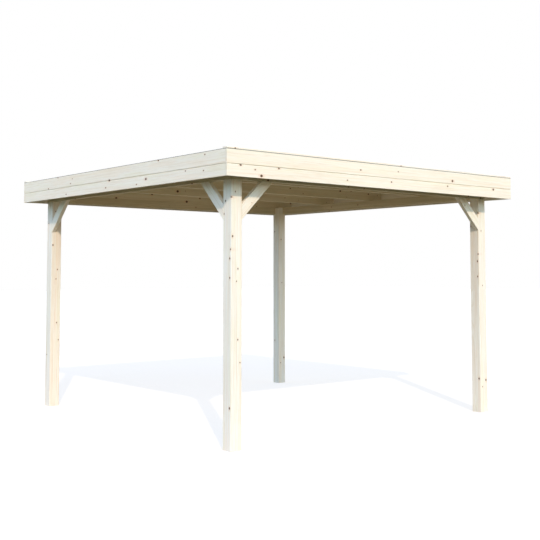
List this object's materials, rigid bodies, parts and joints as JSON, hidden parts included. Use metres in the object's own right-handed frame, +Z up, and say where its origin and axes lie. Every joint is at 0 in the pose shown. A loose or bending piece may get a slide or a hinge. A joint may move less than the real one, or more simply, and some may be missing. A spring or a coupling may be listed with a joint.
{
  "type": "garden pavilion",
  "caption": "Square open garden pavilion of planed timber: notched posts with corner braces carry beams, rafters and a boarded flat roof with a deep timber edge and dark roofing.",
  "frame": {"origin": "on the ground under the centre of the roof", "axes": "+Z up, -Y out of the front, which is the side with a brace at both of its posts, +X to the right as seen from the front"},
  "size_m": [4, 4, 2.621],
  "materials": {
    "post_timber": "planed pale spruce, laminated lengthwise",
    "frame_timber": "planed pale spruce with small knots",
    "rafter_timber": "planed pale spruce with small knots",
    "edge_timber": "planed pale spruce boards with small red-brown knots",
    "roof_timber": "planed spruce boards",
    "roofing": "matt grey roofing felt"
  },
  "bodies": {
    "root": {"post_front_left": "post_timber", "post_front_right": "post_timber", "post_back_left": "post_timber", "post_back_right": "post_timber", "beam_front": "frame_timber", "beam_back": "frame_timber", "beam_left": "frame_timber", "beam_right": "frame_timber", "brace_front_left": "frame_timber", "brace_front_right": "frame_timber", "brace_left_front": "frame_timber", "brace_left_back": "frame_timber", "edge_rafter_front": "rafter_timber", "rafter_1": "rafter_timber", "rafter_2": "rafter_timber", "rafter_3": "rafter_timber", "rafter_4": "rafter_timber", "rafter_5": "rafter_timber", "edge_rafter_back": "rafter_timber", "edge_front_lower": "edge_timber", "edge_front_upper": "edge_timber", "edge_back_lower": "edge_timber", "edge_back_upper": "edge_timber", "edge_left_lower": "edge_timber", "edge_left_upper": "edge_timber", "edge_right_lower": "edge_timber", "edge_right_upper": "edge_timber", "roof_boards": "roof_timber", "roofing_sheet": "roofing", "cap_front": "edge_timber", "cap_back": "edge_timber"}
  },
  "joints": []
}
